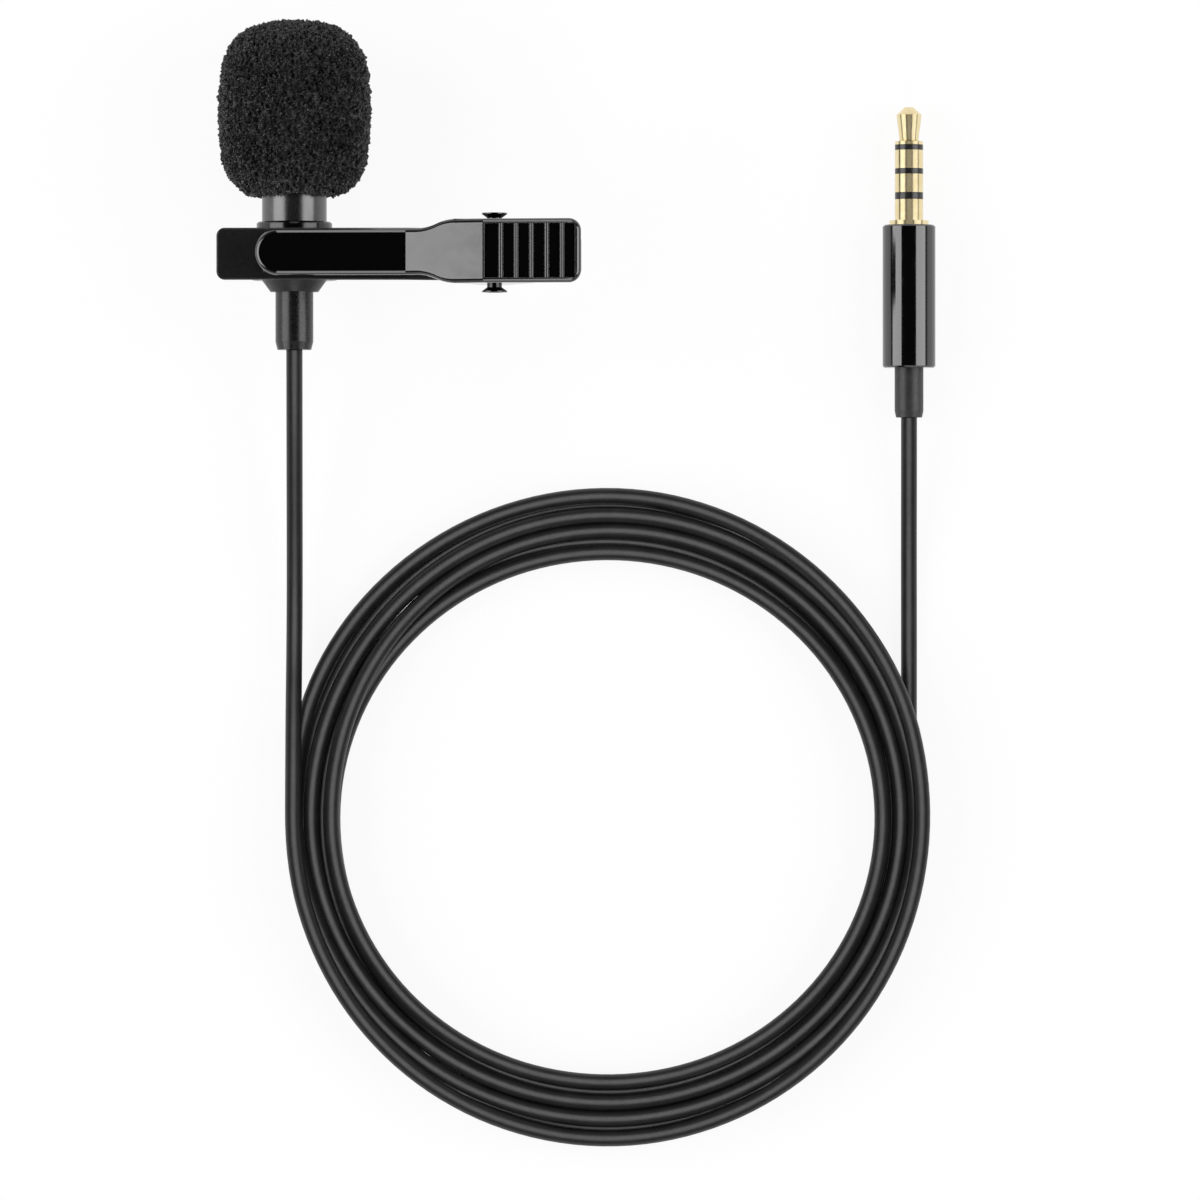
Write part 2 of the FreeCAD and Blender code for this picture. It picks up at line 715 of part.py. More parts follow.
def plug_inner_mould():
    """The plastic that fills the barrel round the soldered ends of the contacts."""
    front = barrel_front + barrel_wall + seat_gap
    back = barrel_back - barrel_wall - plug_boot_head_length - 2 * seat_gap
    outer = barrel_radius - barrel_wall - seat_gap
    neck = sleeve_neck_radius + seat_gap
    sleeve_end = barrel_front + sleeve_neck_length + seat_gap
    core_end = inside_end + seat_gap
    bore = lining_radius + seat_gap
    return plug_turn([
        (neck, front), (outer, front), (outer, back), (0, back), (0, core_end), (bore, core_end),
        (bore, sleeve_end), (neck, sleeve_end),
    ])


def plug_boot():
    """The moulded strain relief, held by its head inside the barrel's back wall."""
    end = barrel_back + plug_boot_length
    head = plug_boot_radius + plug_boot_head
    neck = plug_boot_radius - seat_gap
    head_end = barrel_back - barrel_wall - seat_gap
    head_start = head_end - plug_boot_head_length
    return plug_turn([
        (0, head_start), (head, head_start), (head, head_end), (neck, head_end),
        (neck, end - taper_slope * plug_boot_taper), (plug_boot_radius - plug_boot_taper, end), (0, end),
    ])


# ---- lead ------------------------------------------------------------------------------------
def cord_tube(name, route):
    """A tube along straight runs joined by arcs as large as the runs allow."""
    points = [V(*point) for point in route]
    edges, radii, start = [], [], points[0]
    for before, corner, after in zip(points, points[1:], points[2:]):
        back, ahead = (before - corner).normalize(), (after - corner).normalize()
        half_turn = (math.pi - back.getAngle(ahead)) / 2
        reach = 0.45 * min((before - corner).Length, (after - corner).Length)
        radius = reach / math.tan(half_turn)
        first, last = corner + back * reach, corner + ahead * reach
        inward = (back + ahead).normalize()
        middle = corner + inward * (radius / math.cos(half_turn) - radius)
        edges += [Part.LineSegment(start, first).toShape(), Part.Arc(first, middle, last).toShape()]
        radii.append(radius)
        start = last
    edges.append(Part.LineSegment(start, points[-1]).toShape())
    path = Part.Wire(edges)
    section = Part.Wire(Part.makeCircle(cord_diameter / 2, points[0], points[1] - points[0]))
    tube = path.makePipeShell([section], True, True)
    expected = math.pi * (cord_diameter / 2) ** 2 * path.Length
    print(f"{name} length {path.Length:.1f} radii {[round(radius, 1) for radius in radii]}")
    print(f"{name} volume over expected {tube.Volume / expected:.4f}")
    return tube


def oval(half_widths):
    """A closed oval wire on the table round the coil's centre."""
    along_x, along_y = half_widths
    centre = V(coil_centre[0], coil_centre[1], 0)
    major, minor = max(along_x, along_y), min(along_x, along_y)
    direction = X_AXIS if along_x > along_y else Y_AXIS
    ellipse = Part.Ellipse(centre + direction * major, centre + Z_AXIS.cross(direction) * minor, centre)
    return Part.Wire(ellipse.toShape())


def cord_coil():
    """The outer shape of the coiled part of the lead, as one flat ring."""
    ring = Part.Face(oval(coil_outer)).extrude(Z_AXIS * coil_height)
    ring = ring.cut(Part.Face(oval(coil_inner)).extrude(Z_AXIS * coil_height))
    rims = [e for e in ring.Edges if e.BoundBox.ZLength < 1e-6]
    return ring.makeChamfer(coil_edge, rims)


def main():
    os.makedirs("parts", exist_ok=True)
    pieces = {
        "windscreen": windscreen(),
        "mic_housing": mic_housing(),
        "head_cap": head_cap(),
        "capsule_can": capsule_can(),
        "capsule_felt": capsule_felt(),
        "capsule_board": capsule_board(),
        "capsule_gasket": capsule_gasket(),
        "capsule_leads": capsule_leads(),
        "cord_ferrule": cord_ferrule(),
        "tail_cone": tail_cone(),
        "mic_boot": mic_boot(),
        "ring_bush": ring_bush(),
        "holder_ring": holder_ring(),
        "long_jaw": long_jaw(),
        "short_jaw": short_jaw(),
        "pivot_rivet": pivot_rivet(),
        "clip_spring": clip_spring(),
        "plug_tip": plug_tip(),
        "plug_ring_1": plug_ring(0),
        "plug_ring_2": plug_ring(1),
        "plug_insulation": plug_insulation(),
        "plug_sleeve": plug_sleeve(),
        "plug_barrel": plug_barrel(),
        "plug_inner_mould": plug_inner_mould(),
        "plug_boot": plug_boot(),
        "cord_mic_run": cord_tube("cord_mic_run", mic_run),
        "cord_plug_run": cord_tube("cord_plug_run", plug_run),
        "cord_coil": cord_coil(),
    }
    for name, shape in pieces.items():
        write(name, shape)


main()
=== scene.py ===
"""Lavalier microphone: the looks that go round its CAD frame. Metres, in the frame's own axes."""
import json
import math

import bmesh
import bpy
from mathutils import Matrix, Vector, noise

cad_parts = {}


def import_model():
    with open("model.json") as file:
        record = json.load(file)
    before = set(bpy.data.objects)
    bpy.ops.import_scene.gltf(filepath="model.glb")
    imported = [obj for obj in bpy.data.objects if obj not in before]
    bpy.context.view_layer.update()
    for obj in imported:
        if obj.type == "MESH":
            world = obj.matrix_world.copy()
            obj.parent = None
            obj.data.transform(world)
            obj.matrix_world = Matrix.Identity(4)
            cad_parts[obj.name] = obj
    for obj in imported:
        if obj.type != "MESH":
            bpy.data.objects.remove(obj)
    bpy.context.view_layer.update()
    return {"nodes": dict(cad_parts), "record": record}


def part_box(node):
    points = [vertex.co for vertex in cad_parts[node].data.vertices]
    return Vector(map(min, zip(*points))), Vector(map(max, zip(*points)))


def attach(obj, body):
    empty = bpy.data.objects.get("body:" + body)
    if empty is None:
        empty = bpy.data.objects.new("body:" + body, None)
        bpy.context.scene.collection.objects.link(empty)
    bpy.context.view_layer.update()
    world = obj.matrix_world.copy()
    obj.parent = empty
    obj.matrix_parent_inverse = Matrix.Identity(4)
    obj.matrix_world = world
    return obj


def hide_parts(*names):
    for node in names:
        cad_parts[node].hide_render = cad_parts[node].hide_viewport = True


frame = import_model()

nodes = frame["nodes"]
mm = 0.001


def box_centre(name):
    low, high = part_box(name)
    return [(a + b) / 2 for a, b in zip(low, high)]


# ---- places taken from the frame ---------------------------------------------------------------
mic_x, _, mic_z = box_centre("mic_housing")
foam_low, foam_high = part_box("windscreen")
foam_radius = (foam_high[0] - foam_low[0]) / 2
foam_half = (foam_high[1] - foam_low[1]) / 2
foam_middle_y = (foam_high[1] + foam_low[1]) / 2
neck_radius = (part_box("mic_housing")[1][0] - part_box("mic_housing")[0][0]) / 2
coil_x, coil_y, _ = box_centre("cord_coil")

# ---- lead --------------------------------------------------------------------------------------
cord_diameter = 2 * mm
points_a_turn = 24
# the coil's path: turns wound since its left side, and the distance from its middle there
winding = [
    (0, 38.8 * mm), (0.25, 39.7 * mm), (0.5, 38.75 * mm), (0.573, 39.2 * mm), (0.75, 39.8 * mm),
    (0.91, 39.75 * mm), (1.06, 38.1 * mm), (1.25, 37.25 * mm), (1.5, 38.15 * mm), (1.75, 37.45 * mm),
    (2, 36.68 * mm), (2.25, 35.2 * mm), (2.5, 36.23 * mm), (2.8, 35.45 * mm),
    (3, 34.1 * mm), (3.25, 32.7 * mm), (3.5, 33.95 * mm), (3.75, 32.8 * mm),
    (4, 34.05 * mm), (4.25, 34.0 * mm), (4.5, 34.1 * mm), (4.75, 34.1 * mm), (4.87, 35.1 * mm),
    (5, 35.3 * mm), (5.25, 36.2 * mm), (5.5, 35.1 * mm), (5.75, 38.65 * mm),
    (6, 37.5 * mm), (6.25, 38.55 * mm), (6.5, 37.3 * mm),
]
coil_turns = winding[-1][0]
under_turns = 0.2  # how far past the coil's end, in turns, the lead still lies under others
contact = 0.99  # in diameters, seen from above: strands whose middles are nearer than this touch

# the lead's straighter runs: from the microphone to the coil, and from the plug to the coil
mic_run = [
    (-0.01298, -0.02025, 0.0094),
    (-0.01299, -0.0265, 0.0089),
    (-0.01306, -0.0350, 0.0067),
    (-0.01314, -0.0440, 0.0041),
    (-0.01320, -0.0515, 0.0025),
    (-0.01325, -0.0580, 0.0026),
    (-0.01328, -0.0645, 0.0041),
    (-0.01329, -0.0710, 0.00495),
]
plug_run = [
    (0.06275, -0.02842, 0.00327),
    (0.06277, -0.0355, 0.00275),
    (0.06281, -0.0440, 0.00115),
    (0.06283, -0.0535, 0.0010),
    (0.06283, -0.0625, 0.0010),
    (0.06282, -0.0705, 0.0010),
]


def ease(share):
    """A smooth step from 0 to 1."""
    share = min(1, max(0, share))
    return share * share * (3 - 2 * share)


def distance_out(turns):
    """The lead's distance from the coil's middle, a number of turns after the coil's start."""
    if turns > coil_turns:
        return winding[-1][1] / math.cos(2 * math.pi * (turns - coil_turns))
    for (before, near), (after, far) in zip(winding, winding[1:]):
        if turns <= after:
            return near + (far - near) * ease((turns - before) / (after - before))


def resting_height(turns):
    """Each turn rests on those wound before it from the plug's end, or on the table."""
    placed = []
    below = turns + math.ceil(coil_turns + under_turns - turns) - 1
    while below > turns - 0.5:
        out, height = distance_out(below), cord_diameter / 2
        for other_out, other_height in placed:
            gap = abs(out - other_out)
            if gap < contact * cord_diameter:
                height = max(height, other_height + math.sqrt(cord_diameter ** 2 - gap ** 2))
        placed.append((out, height))
        below -= 1
    return placed[-1][1]


def coil_points():
    """Where the lead's curve goes round the coil, each point midway between two steps."""
    stretch = 1 / math.cos(math.pi / points_a_turn)  # the spline runs inside its points
    step = 1 / points_a_turn
    points = []
    for index in range(int(coil_turns * points_a_turn)):
        turns = (index + 0.5) * step
        out = distance_out(turns) * stretch
        angle = math.pi + 2 * math.pi * turns
        height = max(resting_height(turns + side * step) for side in (-0.5, 0, 0.5))
        points.append((coil_x + out * math.cos(angle), coil_y + out * math.sin(angle), height))
    return points


def wire(name, points, diameter):
    """One smooth round wire or cord, whose curve is drawn by these points."""
    data = bpy.data.curves.new(name, "CURVE")
    data.dimensions = "3D"
    spline = data.splines.new("NURBS")
    spline.points.add(len(points) - 1)
    for point, place in zip(spline.points, points):
        point.co = (*place, 1)
    spline.order_u = 3
    spline.use_endpoint_u = True
    data.resolution_u = 6
    data.bevel_depth = diameter / 2
    data.bevel_resolution = 6
    data.use_fill_caps = True
    obj = bpy.data.objects.new(name, data)
    bpy.context.collection.objects.link(obj)
    return obj


# ---- the clip's spring -------------------------------------------------------------------------
spring_wire = 0.6 * mm
spring_radius = 1.75 * mm
spring_pitch = 0.68 * mm
spring_leg_slope = math.radians(35)
spring_start = math.pi / 2 + spring_leg_slope  # round the rivet, from the grips' direction
spring_whole_turns = 4
spring_sweep = 2 * math.pi * spring_whole_turns + 2 * (math.pi - spring_start)
leg_hold = math.radians(20)  # this much of the coil goes with the upper leg


def spring_points(first, last):
    """Points of the spring's coil between two angles from its start."""
    x, y, z = box_centre("pivot_rivet")
    steps = max(2, round((last - first) / (2 * math.pi) * points_a_turn))
    out = spring_radius / math.cos((last - first) / steps / 2)
    height = spring_pitch * spring_sweep / (2 * math.pi)
    points = []
    for index in range(steps):
        turned = first + (last - first) * (index + 0.5) / steps
        points.append((x + out * math.cos(spring_start + turned),
                       y + height * (0.5 - turned / spring_sweep),
                       z + out * math.sin(spring_start + turned)))
    return points


def spring():
    """The spring in two wires: the upper leg goes with the jaw, and the rest stays on the clip."""
    x, _, z = box_centre("pivot_rivet")
    low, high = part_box("clip_spring")
    reach = spring_wire / 2 * math.cos(spring_leg_slope)
    tangent_x = x + spring_radius * math.cos(spring_start)
    rise = high[2] - reach - z - spring_radius * math.sin(spring_start)
    leg_x = tangent_x + rise / math.tan(spring_leg_slope)
    leg_start, coil = spring_points(0, leg_hold), spring_points(leg_hold, spring_sweep)
    upper = wire("spring_leg", [(leg_x, leg_start[0][1], high[2] - reach)] + leg_start, spring_wire)
    lower = wire("spring_coil", coil + [(leg_x, coil[-1][1], low[2] + reach)], spring_wire)
    return upper, lower


# ---- materials ---------------------------------------------------------------------------------
class Shader:
    """A Principled material with a few ways to vary it over the surface."""

    def __init__(self, name, colour, roughness, **sockets):
        self.material = bpy.data.materials.new(name)
        self.material.use_nodes = True
        self.nodes = self.material.node_tree.nodes
        self.links = self.material.node_tree.links
        self.bsdf = self.nodes["Principled BSDF"]
        self.bsdf.inputs["Base Color"].default_value = (*colour, 1)
        self.bsdf.inputs["Roughness"].default_value = roughness
        for socket, value in sockets.items():
            self.bsdf.inputs[socket.replace("_", " ")].default_value = value
        self.place = self.nodes.new("ShaderNodeTexCoord").outputs["Object"]
        self.normal = None

    def add(self, kind, inputs=None, **settings):
        """A node, with its inputs linked or set."""
        node = self.nodes.new(kind)
        for key, value in settings.items():
            setattr(node, key, value)
        for key, value in (inputs or {}).items():
            if isinstance(value, bpy.types.NodeSocket):
                self.links.new(value, node.inputs[key])
            else:
                node.inputs[key].default_value = value
        return node

    def noise(self, size, detail=3, stretch=None, roughness=0.5):
        """Noise whose features are about size across, drawn out along an axis by stretch."""
        place = self.place
        if stretch:
            place = self.add("ShaderNodeMapping", {"Vector": place, "Scale": stretch}).outputs["Vector"]
        node = self.add("ShaderNodeTexNoise",
                        {"Vector": place, "Scale": 1 / size, "Detail": detail, "Roughness": roughness})
        return node.outputs["Fac"]

    def cells(self, size, feature="F1"):
        node = self.add("ShaderNodeTexVoronoi", {"Vector": self.place, "Scale": 1 / size},
                        feature=feature)
        return node.outputs["Distance"]

    def edges(self, size):
        """One at the walls between cells, falling to nothing inside them."""
        return self.span(self.cells(size, "DISTANCE_TO_EDGE"), 1, 0, (0, 0.45))

    def blend(self, first, second, share):
        node = self.add("ShaderNodeMix", {0: share, 2: first, 3: second})
        return node.outputs[0]

    def span(self, value, low, high, source=(0, 1)):
        node = self.add("ShaderNodeMapRange", {"Value": value, "From Min": source[0],
                                               "From Max": source[1], "To Min": low, "To Max": high})
        return node.outputs["Result"]

    def ramp(self, value, stops):
        node = self.add("ShaderNodeValToRGB", {"Fac": value})
        elements = node.color_ramp.elements
        while len(elements) < len(stops):
            elements.new(0.5)
        for element, (position, colour) in zip(elements, stops):
            element.position = position
            element.color = (*colour, 1)
        return node.outputs["Color"]

    def vary_colour(self, value, stops):
        self.links.new(self.ramp(value, stops), self.bsdf.inputs["Base Color"])

    def vary_roughness(self, value, low, high, source=(0.3, 0.7)):
        self.links.new(self.span(value, low, high, source), self.bsdf.inputs["Roughness"])

    def bump(self, value, depth, strength=1.0):
        inputs = {"Height": value, "Distance": depth, "Strength": strength}
        if self.normal:
            inputs["Normal"] = self.normal
        self.normal = self.add("ShaderNodeBump", inputs).outputs["Normal"]
        self.links.new(self.normal, self.bsdf.inputs["Normal"])

    def soft_edges(self, radius):
        """Rounds the highlights on sharp edges."""
        self.normal = self.add("ShaderNodeBevel", {"Radius": radius}, samples=6).outputs["Normal"]
        self.links.new(self.normal, self.bsdf.inputs["Normal"])


def grey(level):
    return (level, level, level)


def foam_material():
    """Open cells, with shade painted into the holes between them and highlights painted onto the struts
    where cells meet.
    """
    shader = Shader("foam", grey(0.005), 0.45, Specular_IOR_Level=0.55)
    # the struts' mask carries painted glints; the noise is real grain in roughness and bump, and
    # painted glints in the colour
    strut_glint_mask = shader.edges(0.5 * mm)
    grain_and_glints = shader.noise(0.4 * mm, 1.5, roughness=0.7)
    painted_pits_and_glints = shader.blend(strut_glint_mask, grain_and_glints, 0.5)
    # painted shade in the cells' holes and painted glints on the struts and on the noise's bright spots
    shader.vary_colour(painted_pits_and_glints, [(0.28, grey(0.001)), (0.45, grey(0.002)),
                               (0.6, grey(0.009)), (0.75, grey(0.04))])
    shader.vary_roughness(grain_and_glints, 0.75, 0.15)
    shader.bump(grain_and_glints, 0.3 * mm)
    return shader.material


def satin_metal():
    shader = Shader("satin_black_metal", grey(0.005), 0.26, IOR=1.95)
    shader.vary_roughness(shader.noise(0.5 * mm, 4, (1, 0.15, 1)), 0.23, 0.29)
    shader.bump(shader.noise(0.12 * mm, 2, (1, 8, 1)), 0.0012 * mm, 0.5)
    return shader.material


def gloss_lacquer(name, ior=1.8, roughness=0.055, edge=None):
    shader = Shader(name, grey(0.001), roughness, IOR=ior)
    if edge:
        shader.soft_edges(edge)
    shader.vary_roughness(shader.noise(1.5 * mm, 4), roughness * 0.8, roughness * 1.35)
    shader.bump(shader.noise(1.1 * mm, 2), 0.0018 * mm, 0.5)
    return shader.material


def matte_steel():
    shader = Shader("matte_black_steel", grey(0.008), 0.3)
    shader.soft_edges(0.4 * mm)
    shader.vary_colour(shader.noise(0.6 * mm, 4), [(0.35, grey(0.007)), (0.65, grey(0.009))])
    shader.vary_roughness(shader.noise(0.25 * mm, 3), 0.27, 0.34)
    shader.bump(shader.noise(0.09 * mm, 2), 0.006 * mm, 0.6)
    return shader.material


def rubber(name, level, roughness, grain=0.12 * mm, relief=0.004 * mm, ior=1.5):
    shader = Shader(name, grey(level), roughness, IOR=ior)
    shader.vary_colour(shader.noise(0.9 * mm, 3),
                       [(0.35, grey(level * 0.8)), (0.65, grey(level * 1.25))])
    shader.vary_roughness(shader.noise(0.4 * mm, 3), roughness - 0.05, roughness + 0.06)
    shader.bump(shader.noise(grain, 2), relief, 0.6)
    return shader.material


def cord_jacket():
    shader = Shader("cord_black", grey(0.009), 0.42, IOR=1.5)
    shader.vary_colour(shader.noise(2.5 * mm, 4), [(0.35, grey(0.007)), (0.65, grey(0.012))])
    shader.vary_roughness(shader.noise(0.5 * mm, 3), 0.39, 0.46)
    shader.bump(shader.noise(0.1 * mm, 2), 0.004 * mm, 0.5)
    return shader.material


def gold():
    shader = Shader("gold_contact", (0.84, 0.71, 0.42), 0.2, Metallic=1.0)
    shader.vary_colour(shader.noise(1.2 * mm, 3),
                       [(0.3, (0.82, 0.68, 0.38)), (0.7, (0.88, 0.76, 0.48))])
    shader.vary_roughness(shader.noise(0.3 * mm, 4, (1, 0.2, 1)), 0.17, 0.24)
    shader.bump(shader.noise(0.05 * mm, 2, (1, 6, 1)), 0.002 * mm, 0.4)
    return shader.material


def bare_metal(name, colour, roughness):
    shader = Shader(name, colour, roughness, Metallic=1.0)
    darker = tuple(c * 0.8 for c in colour)
    shader.vary_colour(shader.noise(0.6 * mm, 4), [(0.3, darker), (0.7, colour)])
    shader.vary_roughness(shader.noise(0.2 * mm, 3), roughness * 0.75, roughness * 1.3)
    shader.bump(shader.noise(0.06 * mm, 2), 0.002 * mm, 0.5)
    return shader.material


def felt():
    shader = Shader("felt", grey(0.03), 0.95, Sheen_Weight=0.3)
    fibres = shader.noise(0.08 * mm, 4)
    shader.vary_colour(fibres, [(0.35, grey(0.015)), (0.65, grey(0.05))])
    shader.bump(fibres, 0.05 * mm)
    return shader.material


def circuit_board():
    shader = Shader("circuit_board", (0.02, 0.12, 0.04), 0.35)
    shader.vary_colour(shader.cells(0.9 * mm),
                       [(0.25, (0.03, 0.17, 0.06)), (0.45, (0.015, 0.09, 0.03))])
    shader.bump(shader.noise(0.3 * mm), 0.01 * mm, 0.5)
    return shader.material


slot_materials = {
    "foam": foam_material,
    "satin_black_metal": satin_metal,
    "aluminium_can": lambda: bare_metal("aluminium_can", (0.8, 0.81, 0.82), 0.28),
    "felt": felt,
    "circuit_board": circuit_board,
    "black_rubber": lambda: rubber("black_rubber", 0.018, 0.7),
    "dark_rubber": lambda: rubber("dark_rubber", 0.008, 0.4, ior=1.45),
    "copper_wire": lambda: bare_metal("copper_wire", (0.78, 0.42, 0.24), 0.3),
    "boot_black": lambda: rubber("boot_black", 0.006, 0.27, grain=0.8 * mm, relief=0.002 * mm),
    "matte_black_steel": matte_steel,
    "gloss_black_steel": lambda: gloss_lacquer("gloss_black_steel", edge=0.09 * mm),
    "black_rivet": lambda: gloss_lacquer("black_rivet", 1.6, 0.16),
    "spring_steel": lambda: bare_metal("spring_steel", (0.34, 0.35, 0.37), 0.28),
    "gold_contact": gold,
    "black_insulation": lambda: rubber("black_insulation", 0.012, 0.22),
    "gloss_black_barrel": lambda: gloss_lacquer("gloss_black_barrel", roughness=0.09),
    "cord_black": cord_jacket,
}
materials = {slot: make() for slot, make in slot_materials.items()}

# nodes that look unlike the rest of their slot
node_materials = {
    "plug_boot": rubber("plug_boot_black", 0.016, 0.44),
    "ring_bush": gloss_lacquer("ring_bush_black", 1.6, 0.16, 0.3 * mm),
}


def dress_nodes():
    for part in frame["record"]["subparts"]:
        obj = nodes[part["node"]]
        material = node_materials.get(part["node"]) or materials[part["material_slot"]]
        if obj.data.materials:
            for index in range(len(obj.data.materials)):
                obj.data.materials[index] = material
        else:
            obj.data.materials.append(material)


# ---- windscreen --------------------------------------------------------------------------------
foam_around = 480  # points round it
foam_along = 300  # rings of them, from the crown into the bore
arc_steps = 60
foam_hole = 0.35 * mm  # clear of the housing
foam_proud = 0.25 * mm  # the most that the skin stands out past the outline
foam_cell = 0.7 * mm
cell_depth = 0.42 * mm
cell_wall = 0.35  # of a cell
lump_size, lump_height = 0.75 * mm, 0.3 * mm
swell_size, swell_height = 2.6 * mm, 0.13 * mm
# half of the windscreen's outline, in shares of its radius and half length: three points an arc
foam_arcs = [
    [(0.02, 0.999), (0.28, 0.98), (0.52, 0.93)],
    [(0.52, 0.93), (0.82, 0.745), (0.963, 0.45)],
    [(0.963, 0.45), (1, -0.015), (0.963, -0.48)],
    [(0.963, -0.48), (0.84, -0.82), (0.57, -1)],
]


def arc_points(first, middle, last, count):
    """Points on the circle through three points, without the last one."""
    (ax, ay), (bx, by), (cx, cy) = first, middle, last
    d = 2 * (ax * (by - cy) + bx * (cy - ay) + cx * (ay - by))
    squares = [x * x + y * y for x, y in (first, middle, last)]
    x = (squares[0] * (by - cy) + squares[1] * (cy - ay) + squares[2] * (ay - by)) / d
    y = (squares[0] * (cx - bx) + squares[1] * (ax - cx) + squares[2] * (bx - ax)) / d
    radius = math.hypot(ax - x, ay - y)
    start, end = math.atan2(ay - y, ax - x), math.atan2(cy - y, cx - x)
    turn = (end - start + math.pi) % (2 * math.pi) - math.pi
    angles = [start + turn * step / count for step in range(count)]
    return [(x + radius * math.cos(angle), y + radius * math.sin(angle)) for angle in angles]


def foam_outline():
    """Evenly spaced (radius, y) points from the crown round to the bore, with a rolled foot."""
    points = []
    for arc in foam_arcs:
        scaled = [(r * foam_radius, foam_middle_y + y * foam_half) for r, y in arc]
        points += arc_points(*scaled, arc_steps)
    foot_radius, foot_y = foam_arcs[-1][-1][0] * foam_radius, foam_low[1]
    bore = neck_radius + foam_hole
    points += [(foot_radius, foot_y), (bore + 0.5 * mm, foot_y - 0.1 * mm), (bore, foot_y + 0.6 * mm),
               (bore, foot_y + 3 * mm)]
    lengths = [0]
    for a, b in zip(points, points[1:]):
        lengths.append(lengths[-1] + math.dist(a, b))
    even, index = [], 0
    for step in range(foam_along + 1):
        target = lengths[-1] * step / foam_along
        while index < len(lengths) - 2 and lengths[index + 1] < target:
            index += 1
        share = (target - lengths[index]) / (lengths[index + 1] - lengths[index])
        (r0, y0), (r1, y1) = points[index], points[index + 1]
        even.append((r0 + (r1 - r0) * share, y0 + (y1 - y0) * share))
    return even


def foam_relief(place):
    """How far a point of the foam's skin lies below its outer surface: least on the cells' walls."""
    near, second = noise.voronoi(place / foam_cell)[0][:2]
    wall = max(0, 1 - (second - near) / cell_wall)
    fine = noise.noise(place / (0.4 * foam_cell))
    lumps = lump_height * noise.noise(place / lump_size)
    swell = swell_height * noise.noise(place / swell_size)
    return cell_depth * (1.05 - wall + 0.8 * fine) + lumps + swell


def windscreen():
    """The outline turned round the microphone's axis, with its skin moved in and out by the cells."""
    mesh = bmesh.new()
    rings = []
    for radius, y in foam_outline():
        ring = []
        for step in range(foam_around):
            angle = 2 * math.pi * step / foam_around
            out = Vector((math.cos(angle), 0, math.sin(angle)))
            place = Vector((mic_x, y, mic_z)) + out * radius
            ring.append(mesh.verts.new(place))
        rings.append(ring)
    for upper, lower in zip(rings, rings[1:]):
        for step in range(foam_around):
            after = (step + 1) % foam_around
            mesh.faces.new((upper[step], upper[after], lower[after], lower[step]))
    crown = mesh.verts.new((mic_x, foam_high[1], mic_z))
    for step in range(foam_around):
        mesh.faces.new((crown, rings[0][(step + 1) % foam_around], rings[0][step]))
    mesh.normal_update()
    bore = neck_radius + foam_hole + 0.3 * mm
    moves = []
    for vert in mesh.verts:
        from_axis = math.hypot(vert.co.x - mic_x, vert.co.z - mic_z)
        inside = from_axis < bore and vert.co.y < foam_middle_y
        depth = 0 if inside else max(-foam_proud, foam_relief(vert.co))
        moves.append((vert, vert.normal * -depth))
    for vert, move in moves:
        vert.co += move
        vert.co.z = max(0, vert.co.z)  # it rests on the table
    data = bpy.data.meshes.new("foam_windscreen")
    bmesh.ops.recalc_face_normals(mesh, faces=mesh.faces)
    mesh.to_mesh(data)
    mesh.free()
    obj = bpy.data.objects.new("foam_windscreen", data)
    bpy.context.collection.objects.link(obj)
    obj.data.materials.append(materials["foam"])
    return obj


# ---- the pieces that the scene adds ------------------------------------------------------------
dress_nodes()

foam = windscreen()
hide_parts("windscreen")
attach(foam, "windscreen")

cord = wire("lead", mic_run + coil_points() + plug_run[::-1], cord_diameter)
cord.data.materials.append(materials["cord_black"])
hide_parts("cord_mic_run", "cord_coil", "cord_plug_run")
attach(cord, "microphone")

spring_leg, spring_coil = spring()
for piece, body in ((spring_leg, "jaw"), (spring_coil, "clip")):
    piece.data.materials.append(materials["spring_steel"])
    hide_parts("clip_spring")
    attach(piece, body)


# ---- stage, light and camera -------------------------------------------------------------------
floor_white = 0.9  # the share of the floor that is plain white to the eye; the rest shows shadows
shadow_reach = (0.2, 0.7)  # metres from the part, between which the floor turns wholly white
sky = [(0, 1), (0.08, 1), (0.09, 0.27), (0.8, 0.012)]  # (sine of the height above the table, level)


